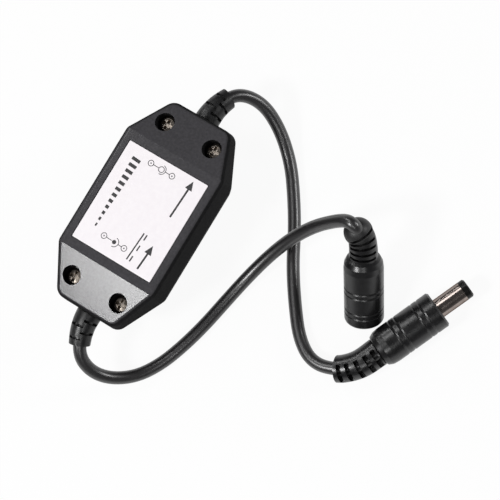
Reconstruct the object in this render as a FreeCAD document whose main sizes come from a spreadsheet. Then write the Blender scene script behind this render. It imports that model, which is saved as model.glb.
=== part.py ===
import FreeCAD, Part
import math
import os
import re
import Sketcher

# Rotary cord dimmer: a moulded box on a low-voltage cord, lying on its knob with the label up.
# Millimetres and degrees. X runs along the housing towards the output cord, Z is up, and the
# origin is the middle of the knob's face, on the floor.

SIZES = {
    # Housing
    "body_length": 62.4,
    "body_width": 32.6,
    "end_width": 19.4,
    "plateau_length": 36.0,
    "front_depth": 9.9,
    "rear_depth": 9.5,
    "end_drop": 4.1,
    "rear_draft": 3.0,
    "front_draft": 14.0,
    "end_corner_radius": 3.4,
    "side_corner_radius": 3.0,
    "crease_radius": 0.8,
    "edge_radius": 1.4,
    "wall": 1.8,
    "end_wall": 2.2,
    # Label
    "label_length": 30.4,
    "label_width": 25.6,
    "label_thickness": 0.2,
    "label_corner": 0.25,
    "label_margin": 0.25,
    "label_recess": 0.25,
    # Cover screws
    "screw_spacing_x": 48.8,
    "screw_spacing_y": 15.4,
    "screw_diameter": 2.6,
    "screw_length": 8.0,
    "screw_play": 0.2,
    "head_diameter": 4.8,
    "head_height": 2.0,
    "head_dome": 0.7,
    "head_round_diameter": 3.6,
    "head_top_diameter": 1.9,
    "screw_point_diameter": 0.9,
    "cross_width": 0.9,
    "cross_length": 2.9,
    "cross_depth": 1.2,
    "counterbore_diameter": 5.4,
    "screw_seat": 2.5,
    "boss_diameter": 7.4,
    "pilot_spare": 0.8,
    # Knob
    "knob_diameter": 20.0,
    "knob_face_diameter": 18.6,
    "knob_height": 7.0,
    "knob_gap": 0.6,
    "knob_wall": 1.8,
    "knob_face_wall": 2.0,
    "knob_face_round": 0.8,
    "hub_diameter": 9.4,
    "hub_bore_depth": 5.2,
    "flute_diameter": 1.7,
    "flute_count": 24,
    "flute_depth": 0.6,
    "pointer_width": 1.3,
    "pointer_length": 6.5,
    "pointer_depth": 0.4,
    # Potentiometer
    "shaft_diameter": 6.0,
    "shaft_flat": 1.5,
    "shaft_end_gap": 0.2,
    "running_clearance": 0.04,
    "rotor_diameter": 8.4,
    "rotor_thickness": 2.4,
    "rotor_gap": 0.3,
    "rotor_pilot": 2.0,
    "rotor_pilot_length": 0.8,
    "pot_width": 10.4,
    "pot_length": 11.0,
    "pot_height": 6.8,
    "pot_gap": 0.4,
    "pot_plate": 1.0,
    "bushing_diameter": 7.2,
    "bushing_length": 1.9,
    "bushing_play": 0.3,
    "wafer_width": 8.8,
    "wafer_thickness": 1.2,
    "wafer_tongue": 3.0,
    "terminal_pitch": 2.5,
    "terminal_diameter": 0.9,
    "terminal_inset": 1.2,
    "terminal_stub": 1.0,
    "wiper_thickness": 0.25,
    "wiper_arm": 0.9,
    "wiper_reach": 2.8,
    "wiper_gap": 0.1,
    # Circuit board
    "board_length": 35.0,
    "board_thickness": 1.6,
    "board_clearance": 0.4,
    "post_spacing_x": 28.0,
    "post_spacing_y": 20.0,
    "post_diameter": 3.0,
    # What is soldered to the board
    "mosfet_x": 8.0,
    "mosfet_inset": 8.2,
    "mosfet_width": 6.6,
    "mosfet_depth": 6.1,
    "mosfet_height": 1.8,
    "mosfet_metal": 0.5,
    "mosfet_tab_width": 5.2,
    "mosfet_tab_reach": 1.1,
    "mosfet_leg_width": 0.8,
    "mosfet_leg_length": 2.7,
    "mosfet_leg_spread": 4.6,
    "capacitor_x": -8.5,
    "capacitor_inset": 6.7,
    "capacitor_base_width": 6.6,
    "capacitor_base_height": 0.8,
    "capacitor_corner": 1.0,
    "capacitor_can_diameter": 6.3,
    "capacitor_can_height": 5.0,
    "diode_x": 7.5,
    "diode_inset": 5.7,
    "diode_length": 4.4,
    "diode_width": 2.7,
    "diode_height": 2.1,
    "chip_x": -7.0,
    "chip_inset": 7.7,
    "chip_length": 4.9,
    "chip_width": 3.9,
    "chip_height": 1.5,
    "chip_lift": 0.2,
    "chip_pin_pitch": 1.27,
    "chip_pin_width": 0.4,
    "chip_pin_length": 1.1,
    "chip_pin_thickness": 0.25,
    "resistor_length": 2.0,
    "resistor_width": 1.25,
    "resistor_height": 0.5,
    # Cords, their inner leads and the reliefs on the housing
    "cord_diameter": 3.7,
    "jacket_reach": 4.2,
    "first_bend": 3.8,
    "lead_diameter": 1.4,
    "lead_spread": 1.7,
    "pad_spread": 4.4,
    "pad_inset": 3.0,
    "lead_rise": 1.5,
    "relief_length": 8.8,
    "relief_base": 7.2,
    "relief_end": 6.0,
    "neck_diameter": 5.6,
    "neck_play": 0.05,
    "flange_diameter": 6.8,
    "flange_thickness": 1.5,
    "relief_slot_core": 4.7,
    "relief_slot_width": 0.8,
    "relief_slot_angle": 96.0,
    "relief_slot_turn": 150.0,
    "relief_slot_start": 1.9,
    "relief_slot_pitch": 1.6,
    "relief_slot_rows": 4,
    # Both connectors
    "mould_clearance": 0.02,
    "groove_depth": 0.15,
    "groove_width": 0.7,
    "shoulder_inset": 1.6,
    "shoulder_length": 3.4,
    # Male connector
    "plug_diameter": 10.8,
    "plug_length": 20.2,
    "plug_face_chamfer": 0.5,
    "plug_relief_base": 8.2,
    "plug_relief_end": 7.6,
    "plug_relief_length": 12.6,
    "plug_relief_slot_core": 4.3,
    "plug_relief_slot_width": 1.4,
    "plug_relief_slot_angle": 104.0,
    "plug_relief_slot_turn": 130.0,
    "plug_relief_slot_start": 1.2,
    "plug_relief_slot_pitch": 2.45,
    "plug_relief_slot_rows": 5,
    "plug_groove_back": 6.9,
    "plug_groove_front": 14.5,
    "plug_groove_gap": 1.85,
    "barrel_diameter": 5.5,
    "barrel_length": 10.0,
    "barrel_root": 6.0,
    "barrel_flange": 6.6,
    "tip_length": 1.9,
    "tip_chamfer": 0.4,
    "sleeve_wall": 0.5,
    "liner_wall": 0.7,
    "contact_bore": 2.1,
    "contact_inset": 0.8,
    "contact_back": 1.0,
    # Female connector
    "socket_diameter": 10.9,
    "socket_length": 21.0,
    "socket_mouth_round": 1.2,
    "socket_relief_base": 7.9,
    "socket_relief_end": 7.3,
    "socket_relief_length": 7.9,
    "socket_relief_dome": 7.9,
    "socket_relief_slot_core": 5.2,
    "socket_relief_slot_width": 0.75,
    "socket_relief_slot_angle": 130.0,
    "socket_relief_slot_turn": 85.0,
    "socket_relief_slot_start": 1.0,
    "socket_relief_slot_pitch": 1.55,
    "socket_relief_slot_rows": 5,
    "socket_groove_back": 9.3,
    "socket_groove_front": 16.1,
    "socket_groove_gap": 1.5,
    "socket_dip": 44.0,
    "socket_lead_in": 3.1,
    "socket_bore": 6.0,
    "socket_depth": 11.0,
    "insert_wall": 0.9,
    "insert_back": 1.5,
    "pin_diameter": 2.0,
    "pin_inset": 1.5,
    "spring_width": 1.6,
    "spring_thickness": 0.3,
    "spring_bow": 0.35,
    "spring_length": 7.0,
    "spring_peak": 3.9,
}

# Plan places of the chip resistors on the board
RESISTOR_SPOTS = ((0, 9.5), (0, 6.5), (0, 3.5), (12.5, -4.5), (12.5, -7.0), (1.8, -10.0))
# How much of the shorter run beside a corner of a cord its arc takes up
ARC_SHARE = 0.45
# Rings in the skin of a strain relief
RELIEF_RINGS = 7
# Steps of the rounded shoulder behind a connector's body
SHOULDER_ANGLES = (0, 30, 60, 90)
# Nearness within which two heights count as one
NEAR = 0.01

# Heights and places that several pieces share, as expressions of the sizes
FRONT_FACE = "(knob_height + knob_gap)"
PARTING = f"({FRONT_FACE} + front_depth)"
REAR_FACE = f"({PARTING} + rear_depth)"
SLOPE = "(end_drop / (body_length / 2 - plateau_length / 2))"
CAVITY_X = "(board_length / 2 + board_clearance)"
CAVITY_Y = "(body_width / 2 - wall - rear_depth * tan(rear_draft))"
BOARD_Y = f"({CAVITY_Y} - board_clearance)"
BOARD_ROOM = "(board_thickness + board_clearance)"
END_CAVITY_X = "(body_length / 2 - end_wall)"
POT_TOP = f"({FRONT_FACE} + wall + pot_gap)"
BOARD_FRONT = f"({POT_TOP} + pot_height)"
BOARD_REAR = f"({BOARD_FRONT} + board_thickness)"
WAFER_FACE = f"({BOARD_FRONT} - wafer_thickness)"
ROTOR_TOP = f"({POT_TOP} + pot_plate + rotor_gap)"
ROTOR_BACK = f"({ROTOR_TOP} + rotor_thickness)"
SHAFT_TIP = "(knob_height - hub_bore_depth + shaft_end_gap)"
SCREW_X = "(screw_spacing_x / 2)"
SCREW_Y = "(screw_spacing_y / 2)"
SEAT_HEIGHT = f"({PARTING} + screw_seat)"
SHANK_HOLE = "(screw_diameter / 2 + screw_play)"
LINER_RADIUS = "(barrel_diameter / 2 - sleeve_wall - mould_clearance)"
CONTACT_RADIUS = f"({LINER_RADIUS} - liner_wall - mould_clearance)"
INSERT_RADIUS = "(socket_bore / 2 + insert_wall)"

doc = FreeCAD.newDocument("rotary_cord_dimmer")
sheet = doc.addObject("Spreadsheet::Sheet", "Sizes")
for row, (alias, size) in enumerate(SIZES.items(), start=1):
    sheet.set(f"A{row}", alias)
    sheet.set(f"B{row}", str(size))
    sheet.setAlias(f"B{row}", alias)
doc.recompute()

UP = FreeCAD.Vector(0, 0, 1)
subparts = {}


def bound(text):
    """An expression whose size names point at the sheet."""
    return re.sub(r"[a-z_]+", lambda word: f"Sizes.{word[0]}" if word[0] in SIZES else word[0], text)


def value(text):
    """What an expression of sizes comes to."""
    return float(sheet.evalExpression(bound(text)))


def vector(x, y, z):
    return FreeCAD.Vector(value(x), value(y), value(z))


def keep(label, item):
    """Names a finished sub-part, which is written to the file of that name."""
    item.Label = label
    subparts[label] = item
    return item


def new_body(label):
    return doc.addObject("PartDesign::Body", f"{label}_body")


def new_sketch(body, name, role="XY_Plane", lift="0"):
    """A sketch on one of the body's own planes, raised along the plane's normal."""
    sketch = body.newObject("Sketcher::SketchObject", name)
    plane = next(item for item in body.Origin.OriginFeatures if item.Role == role)
    sketch.AttachmentSupport = [(plane, "")]
    sketch.MapMode = "FlatFace"
    sketch.setExpression("AttachmentOffset.Base.z", bound(lift))
    return sketch


def pin_point(sketch, geometry, point, place):
    """Ties a point of the sketch to its two coordinates."""
    for kind, axis, text in (("DistanceX", -2, place[0]), ("DistanceY", -1, place[1])):
        if text == "0":
            sketch.addConstraint(Sketcher.Constraint("PointOnObject", geometry, point, axis))
            continue
        number = sketch.addConstraint(Sketcher.Constraint(kind, -1, 1, geometry, point, value(text)))
        sketch.setExpression(f"Constraints[{number}]", bound(text))


def add_outline(sketch, corners):
    """A closed outline of straight lines through corners given as pairs of expressions."""
    spots = [vector(x, y, "0") for x, y in corners]
    first = sketch.GeometryCount
    count = len(spots)
    for index, spot in enumerate(spots):
        sketch.addGeometry(Part.LineSegment(spot, spots[(index + 1) % count]))
    for index, corner in enumerate(corners):
        after = first + (index + 1) % count
        sketch.addConstraint(Sketcher.Constraint("Coincident", first + index, 2, after, 1))
        pin_point(sketch, first + index, 1, corner)


def add_rectangle(sketch, half_x, half_y):
    signs = ((1, 1), (-1, 1), (-1, -1), (1, -1))
    add_outline(sketch, [(f"{x} * ({half_x})", f"{y} * ({half_y})") for x, y in signs])


def add_circle(sketch, centre, radius):
    circle = sketch.addGeometry(Part.Circle(vector(*centre, "0"), UP, value(radius)))
    pin_point(sketch, circle, 3, centre)
    number = sketch.addConstraint(Sketcher.Constraint("Radius", circle, value(radius)))
    sketch.setExpression(f"Constraints[{number}]", bound(radius))


def four_places(half_x, half_y):
    return [(f"{x} * ({half_x})", f"{y} * ({half_y})") for x in (1, -1) for y in (1, -1)]


def pad(body, sketch, length, downward=False, taper="0"):
    feature = body.newObject("PartDesign::Pad", f"{sketch.Name}_pad")
    feature.Profile = sketch
    feature.Reversed = downward
    feature.setExpression("Length", bound(length))
    feature.setExpression("TaperAngle", bound(taper))
    doc.recompute()
    return feature


def pocket(body, sketch, depth="", upward=False, both_ways=False):
    """Cuts the sketch's area away, through all of the body where no depth is given."""
    before = body.Shape.Volume
    feature = body.newObject("PartDesign::Pocket", f"{sketch.Name}_cut")
    feature.Profile = sketch
    feature.Reversed = upward
    if both_ways:
        feature.SideType = "Symmetric"
    if depth:
        feature.setExpression("Length", bound(depth))
    else:
        feature.Type = "ThroughAll"
    doc.recompute()
    if body.Shape.Volume >= before:
        raise RuntimeError(f"{feature.Name} cuts nothing")
    return feature


def revolve(body, name, corners):
    """A turned solid about Z from an outline of radius and height."""
    sketch = new_sketch(body, name, "XZ_Plane")
    add_outline(sketch, corners)
    feature = body.newObject("PartDesign::Revolution", f"{name}_turned")
    feature.Profile = sketch
    feature.ReferenceAxis = (sketch, ["V_Axis"])
    feature.Angle = 360
    doc.recompute()
    return feature


def fillet(body, base, radius, wanted):
    """Rounds the edges of the base feature that the test wants."""
    feature = body.newObject("PartDesign::Fillet", f"{base.Name}_round")
    names = [f"Edge{number}" for number, edge in enumerate(base.Shape.Edges, start=1) if wanted(edge)]
    feature.Base = (base, names)
    feature.setExpression("Radius", bound(radius))
    doc.recompute()
    return feature


def place(item, spot):
    for axis, text in zip("xyz", spot):
        item.setExpression(f"Placement.Base.{axis}", bound(text))


def box(name, size, centre, floor):
    """A block of that size, centred on a plan point and standing on a height."""
    item = doc.addObject("Part::Box", name)
    for side, text in zip(("Length", "Width", "Height"), size):
        item.setExpression(side, bound(text))
    place(item, (f"{centre[0]} - ({size[0]}) / 2", f"{centre[1]} - ({size[1]}) / 2", floor))
    return item


def cylinder(name, radius, height, spot):
    item = doc.addObject("Part::Cylinder", name)
    item.setExpression("Radius", bound(radius))
    item.setExpression("Height", bound(height))
    place(item, spot)
    return item


def fuse(name, items):
    item = doc.addObject("Part::MultiFuse", name)
    item.Shapes = items
    return item


def cut(name, base, tool):
    item = doc.addObject("Part::Cut", name)
    item.Base = base
    item.Tool = tool
    return item


def group(name, items):
    item = doc.addObject("Part::Compound", name)
    item.Links = items
    return item


def solid(name, shape):
    """A shape that no sketch or primitive gives, such as a routed tube."""
    item = doc.addObject("Part::Feature", name)
    item.Shape = shape
    return item


# Housing

def cover_blank(label, depth, draft, sign, own_creases):
    """Half of the housing, solid: drafted octagon, sloped ends, rounded rim. sign is + for the rear.

    The creases where the ends begin to slope have a radius of their own, or the rim's.
    """
    body = new_body(label)
    outline = new_sketch(body, f"{label}_outline", lift=PARTING)
    corners = []
    for side in (1, -1):
        for end in (1, -1):
            wide = (f"{side * end} * plateau_length / 2", f"{side} * body_width / 2")
            narrow = (f"{side * end} * body_length / 2", f"{side} * end_width / 2")
            corners += [narrow, wide] if end == 1 else [wide, narrow]
    add_outline(outline, corners)
    blank = pad(body, outline, depth, downward=sign == "-", taper=f"-{draft}")

    def upright(edge):
        return abs(edge.Vertexes[0].Z - edge.Vertexes[-1].Z) > value(depth) / 2

    between = value("(body_length + plateau_length) / 4")
    ends = fillet(body, blank, "end_corner_radius",
                  lambda edge: upright(edge) and abs(edge.CenterOfMass.x) > between)
    fillet(body, ends, "side_corner_radius",
           lambda edge: upright(edge) and abs(edge.CenterOfMass.x) < between)

    face = f"({PARTING} {sign} {depth})"
    beyond = "(body_length / 2 + wall)"
    low = f"({face} {'-' if sign == '+' else '+'} {SLOPE} * ({beyond} - plateau_length / 2))"
    slopes = new_sketch(body, f"{label}_slopes", "XZ_Plane")
    for side in (1, -1):
        near = f"{side} * plateau_length / 2"
        far = f"{side} * {beyond}"
        add_outline(slopes, [(near, face), (far, face), (far, low)])
    sloped = pocket(body, slopes, both_ways=True)

    crease_x = value("plateau_length / 2")
    middle = value(PARTING)
    rim_start = value(f"{depth} - end_drop - edge_radius / 4")

    def across(edge):
        return abs(edge.Vertexes[0].X - edge.Vertexes[-1].X) < NEAR

    def outside(edge):
        return min(abs(corner.Z - middle) for corner in edge.Vertexes) > rim_start

    if own_creases:
        creases = fillet(body, sloped, "crease_radius",
                         lambda edge: across(edge) and abs(abs(edge.CenterOfMass.x) - crease_x) < NEAR)
        fillet(body, creases, "edge_radius",
               lambda edge: outside(edge) and not (across(edge) and abs(edge.CenterOfMass.x) < between))
    else:
        fillet(body, sloped, "edge_radius", outside)
    return body


def hollow(body, label, depth, draft, upward):
    """The board's room, the deep room past it, the lower rooms at both ends, and the bosses in these."""
    deep_y = f"(body_width / 2 - wall - {depth} * tan({draft}))"
    steps = (("board_room", CAVITY_Y, BOARD_ROOM), ("deep_room", deep_y, f"{depth} - wall"))
    for name, half_y, reach in steps:
        room = new_sketch(body, f"{label}_{name}", lift=PARTING)
        add_rectangle(room, CAVITY_X, half_y)
        pocket(body, room, reach, upward)

    end_depth = f"({depth} - end_drop - wall)"
    rooms = new_sketch(body, f"{label}_end_rooms", lift=PARTING)
    end_y = "(end_width / 2 - wall)"
    for side in (1, -1):
        inner = f"{side} * ({CAVITY_X} - wall)"
        bend = f"{side} * plateau_length / 2"
        far = f"{side} * {END_CAVITY_X}"
        add_outline(rooms, [(inner, CAVITY_Y), (bend, CAVITY_Y), (far, end_y),
                            (far, f"-{end_y}"), (bend, f"-{CAVITY_Y}"), (inner, f"-{CAVITY_Y}")])
    pocket(body, rooms, end_depth, upward)

    bosses = new_sketch(body, f"{label}_bosses", lift=PARTING)
    for spot in four_places(SCREW_X, SCREW_Y):
        add_circle(bosses, spot, "boss_diameter / 2")
    pad(body, bosses, end_depth, downward=not upward)


def notch_ends(body, label):
    """The round gap in both end walls that clamps the necks of the strain reliefs."""
    notch = new_sketch(body, f"{label}_notch", "YZ_Plane")
    add_circle(notch, ("0", PARTING), "neck_diameter / 2 + neck_play")
    pocket(body, notch, both_ways=True)


def add_posts(body, label, start, length):
    posts = new_sketch(body, f"{label}_posts", lift=start)
    for spot in four_places("post_spacing_x / 2", "post_spacing_y / 2"):
        add_circle(posts, spot, "post_diameter / 2")
    pad(body, posts, length)


def make_rear_cover():
    label = "rear_cover"
    body = cover_blank(label, "rear_depth", "rear_draft", "+", own_creases=True)
    hollow(body, label, "rear_depth", "rear_draft", upward=True)
    notch_ends(body, label)
    add_posts(body, label, BOARD_REAR, f"{REAR_FACE} - wall - {BOARD_REAR}")

    heads = new_sketch(body, "rear_counterbores", lift=SEAT_HEIGHT)
    shanks = new_sketch(body, "rear_shank_holes", lift=PARTING)
    for spot in four_places(SCREW_X, SCREW_Y):
        add_circle(heads, spot, "counterbore_diameter / 2")
        add_circle(shanks, spot, SHANK_HOLE)
    pocket(body, heads, upward=True)
    pocket(body, shanks, upward=True)

    recess = new_sketch(body, "rear_label_recess", lift=REAR_FACE)
    add_rectangle(recess, "label_length / 2 + label_margin", "label_width / 2 + label_margin")
    pocket(body, recess, "label_recess")
    return keep(label, body)


def make_front_cover():
    label = "front_cover"
    body = cover_blank(label, "front_depth", "front_draft", "-", own_creases=False)
    hollow(body, label, "front_depth", "front_draft", upward=False)
    notch_ends(body, label)
    inner_floor = f"({FRONT_FACE} + wall)"
    add_posts(body, label, inner_floor, f"{BOARD_FRONT} - {inner_floor}")

    pilots = new_sketch(body, "front_pilot_holes", lift=PARTING)
    for spot in four_places(SCREW_X, SCREW_Y):
        add_circle(pilots, spot, "screw_diameter / 2 + mould_clearance")
    pocket(body, pilots, "screw_length - screw_seat + pilot_spare")

    opening = new_sketch(body, "front_bushing_hole", lift=inner_floor)
    add_circle(opening, ("0", "0"), "bushing_diameter / 2 + bushing_play")
    pocket(body, opening, "2 * wall")
    return keep(label, body)


def make_label():
    body = new_body("face_label")
    sketch = new_sketch(body, "label_outline", lift=f"{REAR_FACE} - label_recess")
    add_rectangle(sketch, "label_length / 2", "label_width / 2")
    plate = pad(body, sketch, "label_thickness")
    fillet(body, plate, "label_corner", lambda edge: abs(edge.Vertexes[0].Z - edge.Vertexes[-1].Z) > NEAR)
    return keep("face_label", body)


def make_screws():
    """Four pan head screws with a cross recess, seated in the counterbores."""
    body = new_body("cover_screw")
    shank = "screw_diameter / 2"
    head = "head_diameter / 2"
    top = "head_height"
    revolve(body, "screw_profile", [
        ("0", "-screw_length"), ("screw_point_diameter / 2", "-screw_length"),
        (shank, f"-screw_length + {shank}"), (shank, "0"), (head, "0"), (head, f"{top} - head_dome"),
        ("head_round_diameter / 2", f"{top} - head_dome / 4"), ("head_top_diameter / 2", top), ("0", top)])
    for name, half_x, half_y in (("cross_one", "cross_length / 2", "cross_width / 2"),
                                 ("cross_two", "cross_width / 2", "cross_length / 2")):
        arm = new_sketch(body, name, lift=top)
        add_rectangle(arm, half_x, half_y)
        pocket(body, arm, "cross_depth")
    copies = []
    for x, y in four_places(SCREW_X, SCREW_Y):
        copy = body.Shape.copy()
        copy.translate(vector(x, y, SEAT_HEIGHT))
        copies.append(copy)
    return keep("cover_screws", solid("cover_screws", Part.makeCompound(copies)))


# Knob and potentiometer

def make_knob():
    """Fluted cap with its face on the floor and a hub with a D bore on the shaft."""
    body = new_body("knob")
    rim = "knob_diameter / 2"
    face = "knob_face_diameter / 2"
    turned = revolve(body, "knob_profile", [
        ("0", "0"), (face, "0"), (rim, "knob_height"), (f"{rim} - knob_wall", "knob_height"),
        (f"{rim} - knob_wall", "knob_face_wall"), ("hub_diameter / 2", "knob_face_wall"),
        ("hub_diameter / 2", "knob_height"), ("0", "knob_height")])
    fillet(body, turned, "knob_face_round", lambda edge: edge.BoundBox.ZMax < NEAR and edge.Length > 1)

    flute = new_sketch(body, "knob_flute", lift="knob_height")
    add_circle(flute, (f"{rim} + flute_diameter / 2 - flute_depth", "0"), "flute_diameter / 2")
    one_flute = pocket(body, flute)
    pattern = body.newObject("PartDesign::PolarPattern", "knob_flutes")
    pattern.Originals = [one_flute]
    pattern.Axis = (flute, ["N_Axis"])
    pattern.Angle = 360
    pattern.setExpression("Occurrences", bound("flute_count"))
    body.Tip = pattern
    doc.recompute()

    pointer = new_sketch(body, "knob_pointer")
    reach = f"{face} - knob_face_round - pointer_length"
    half = "pointer_width / 2"
    out = f"{face} - knob_face_round"
    add_outline(pointer, [(reach, half), (out, half), (out, f"-{half}"), (reach, f"-{half}")])
    pocket(body, pointer, "pointer_depth", upward=True)

    bore = new_sketch(body, "knob_bore", lift="knob_height")
    radius = "shaft_diameter / 2 + running_clearance"
    add_circle(bore, ("0", "0"), radius)
    pocket(body, bore, "hub_bore_depth")
    flat = new_sketch(body, "knob_bore_flat", lift="knob_height - hub_bore_depth")
    inside = "shaft_flat + running_clearance"
    outside = f"{radius} + wall / 4"
    chord = f"sqrt(({radius}) * ({radius}) - ({inside}) * ({inside}))"
    add_outline(flat, [(inside, chord), (outside, chord), (outside, f"-{chord}"), (inside, f"-{chord}")])
    pad(body, flat, "hub_bore_depth")
    return keep("knob", body)


def make_pot_shaft():
    """The turned rotor: D shaft, flange and the pilot that runs in the wafer."""
    body = new_body("pot_shaft")
    shaft = "shaft_diameter / 2"
    flange = "rotor_diameter / 2"
    pilot = "rotor_pilot / 2"
    end = f"{WAFER_FACE} + rotor_pilot_length"
    revolve(body, "shaft_profile", [
        ("0", SHAFT_TIP), (shaft, SHAFT_TIP), (shaft, ROTOR_TOP), (flange, ROTOR_TOP),
        (flange, ROTOR_BACK), (pilot, ROTOR_BACK), (pilot, end), ("0", end)])
    flat = new_sketch(body, "shaft_flat_cut", lift=SHAFT_TIP)
    add_outline(flat, [("shaft_flat", shaft), (f"2 * {shaft}", shaft),
                       (f"2 * {shaft}", f"-{shaft}"), ("shaft_flat", f"-{shaft}")])
    pocket(body, flat, "hub_bore_depth", upward=True)
    return keep("pot_shaft", body)


def make_pot_bracket():
    """Cup with the bushing, open towards the board, and open at one side for the wafer's tongue."""
    body = new_body("pot_bracket")
    base = new_sketch(body, "bracket_outline", lift=POT_TOP)
    add_rectangle(base, "pot_width / 2", "pot_length / 2")
    pad(body, base, "pot_height")
    chamber = new_sketch(body, "bracket_chamber", lift=BOARD_FRONT)
    add_circle(chamber, ("0", "0"), "rotor_diameter / 2 + rotor_gap")
    pocket(body, chamber, "pot_height - pot_plate")
    seat = new_sketch(body, "bracket_wafer_seat", lift=BOARD_FRONT)
    half = "wafer_width / 2 + mould_clearance"
    back = "pot_length / 2 - wall / 2"
    open_side = "-pot_length"
    add_outline(seat, [(half, back), (half, open_side), (f"-({half})", open_side), (f"-({half})", back)])
    pocket(body, seat, "wafer_thickness")
    bushing = new_sketch(body, "bracket_bushing", lift=POT_TOP)
    add_circle(bushing, ("0", "0"), "bushing_diameter / 2")
    pad(body, bushing, "bushing_length", downward=True)
    bore = new_sketch(body, "bracket_bore", lift=BOARD_FRONT)
    add_circle(bore, ("0", "0"), "shaft_diameter / 2 + running_clearance")
    pocket(body, bore)
    return keep("pot_bracket", body)


def terminal_places():
    y = "-(pot_length / 2 + wafer_tongue - terminal_inset)"
    return [(f"{step} * terminal_pitch", y) for step in (-1, 0, 1)]


def add_terminal_holes(sketch):
    for x, y in terminal_places():
        add_circle(sketch, ("0" if x.startswith("0") else x, y), "terminal_diameter / 2 + mould_clearance")


def make_pot_wafer():
    """The resistive plate on the board, with a tongue that carries the terminals."""
    body = new_body("pot_wafer")
    plate = new_sketch(body, "wafer_outline", lift=WAFER_FACE)
    half = "wafer_width / 2"
    back = "pot_length / 2 - wall / 2 - mould_clearance"
    front = "-(pot_length / 2 + wafer_tongue)"
    add_outline(plate, [(half, back), (half, front), (f"-{half}", front), (f"-{half}", back)])
    pad(body, plate, "wafer_thickness")
    holes = new_sketch(body, "wafer_holes", lift=BOARD_FRONT)
    add_circle(holes, ("0", "0"), "rotor_pilot / 2 + running_clearance")
    add_terminal_holes(holes)
    pocket(body, holes)
    return keep("pot_wafer", body)


def make_pot_terminals():
    """Three pins through the wafer's tongue and the board, each with a rivet head."""
    pins = []
    for number, (x, y) in enumerate(terminal_places(), start=1):
        head = cylinder(f"terminal_head_{number}", "terminal_diameter", "terminal_diameter / 3",
                        (x, y, f"{WAFER_FACE} - terminal_diameter / 3"))
        pin = cylinder(f"terminal_pin_{number}", "terminal_diameter / 2",
                       "wafer_thickness + board_thickness + terminal_stub", (x, y, WAFER_FACE))
        pins.append(fuse(f"terminal_{number}", [head, pin]))
    return keep("pot_terminals", group("pot_terminals", pins))


def make_pot_wiper():
    """Spring washer under the rotor's flange with two raised brushes that reach the wafer."""
    outer = "rotor_diameter / 2 - wiper_gap"
    seat = ("0", "0", ROTOR_BACK)
    disc = cylinder("wiper_disc", outer, "wiper_thickness", seat)
    eye = cylinder("wiper_eye", "rotor_pilot / 2 + mould_clearance", "wiper_thickness", seat)
    washer = cut("wiper_washer", disc, eye)
    brushes = []
    for side in (1, -1):
        size = ("wiper_arm", "wiper_arm", f"{WAFER_FACE} - wiper_gap - {ROTOR_BACK}")
        spot = (f"{side} * wiper_reach", "0")
        brushes.append(box(f"wiper_brush_{side + 2}", size, spot, ROTOR_BACK))
    return keep("pot_wiper", fuse("pot_wiper", [washer] + brushes))


# Circuit board and what is soldered to it

def lead_pads(sign):
    """Where the two leads of one cord meet the board; sign is the end of the housing."""
    x = f"{sign} * (board_length / 2 - pad_inset)"
    return [(x, f"{side} * pad_spread / 2") for side in (1, -1)]


def make_board():
    body = new_body("circuit_board")
    plate = new_sketch(body, "board_outline", lift=BOARD_FRONT)
    add_rectangle(plate, "board_length / 2", BOARD_Y)
    pad(body, plate, "board_thickness")
    holes = new_sketch(body, "board_holes", lift=BOARD_REAR)
    add_terminal_holes(holes)
    pocket(body, holes)
    return keep("circuit_board", body)


def make_power_parts():
    """The switching transistor with its tab and legs, the capacitor can and the diode."""
    size = ("mosfet_width", "mosfet_depth", "mosfet_height")
    mosfet_y = f"({BOARD_Y} - mosfet_inset)"
    keep("power_mosfet", box("power_mosfet", size, ("mosfet_x", mosfet_y), f"{BOARD_REAR} + mosfet_metal"))
    tab = box("mosfet_tab", ("mosfet_tab_width", "mosfet_depth + mosfet_tab_reach", "mosfet_metal"),
              ("mosfet_x", f"{mosfet_y} + mosfet_tab_reach / 2"), BOARD_REAR)
    leg_y = f"{mosfet_y} - mosfet_depth / 2 - mosfet_leg_length / 2"
    legs = []
    for side in (1, -1):
        leg_size = ("mosfet_leg_width", "mosfet_leg_length", "mosfet_metal + chip_lift")
        leg_x = f"mosfet_x + {side} * mosfet_leg_spread / 2"
        legs.append(box(f"mosfet_leg_{side + 2}", leg_size, (leg_x, leg_y), BOARD_REAR))
    keep("mosfet_leads", group("mosfet_leads", [tab] + legs))

    body = new_body("filter_capacitor")
    base = new_sketch(body, "capacitor_base", lift=BOARD_REAR)
    half = "capacitor_base_width / 2"
    short = "(capacitor_base_width / 2 - capacitor_corner)"
    corners = ((half, f"-{short}"), (half, short), (short, half),
               (f"-{half}", half), (f"-{half}", f"-{half}"), (short, f"-{half}"))
    capacitor_y = f"(capacitor_inset - {BOARD_Y})"
    add_outline(base, [(f"capacitor_x + ({x})", f"{capacitor_y} + ({y})") for x, y in corners])
    pad(body, base, "capacitor_base_height")
    can = new_sketch(body, "capacitor_can", lift=f"{BOARD_REAR} + capacitor_base_height")
    add_circle(can, ("capacitor_x", capacitor_y), "capacitor_can_diameter / 2")
    pad(body, can, "capacitor_can_height")
    keep("filter_capacitor", body)
    keep("surge_diode", box("surge_diode", ("diode_length", "diode_width", "diode_height"),
                            ("diode_x", f"(diode_inset - {BOARD_Y})"), BOARD_REAR))


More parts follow.
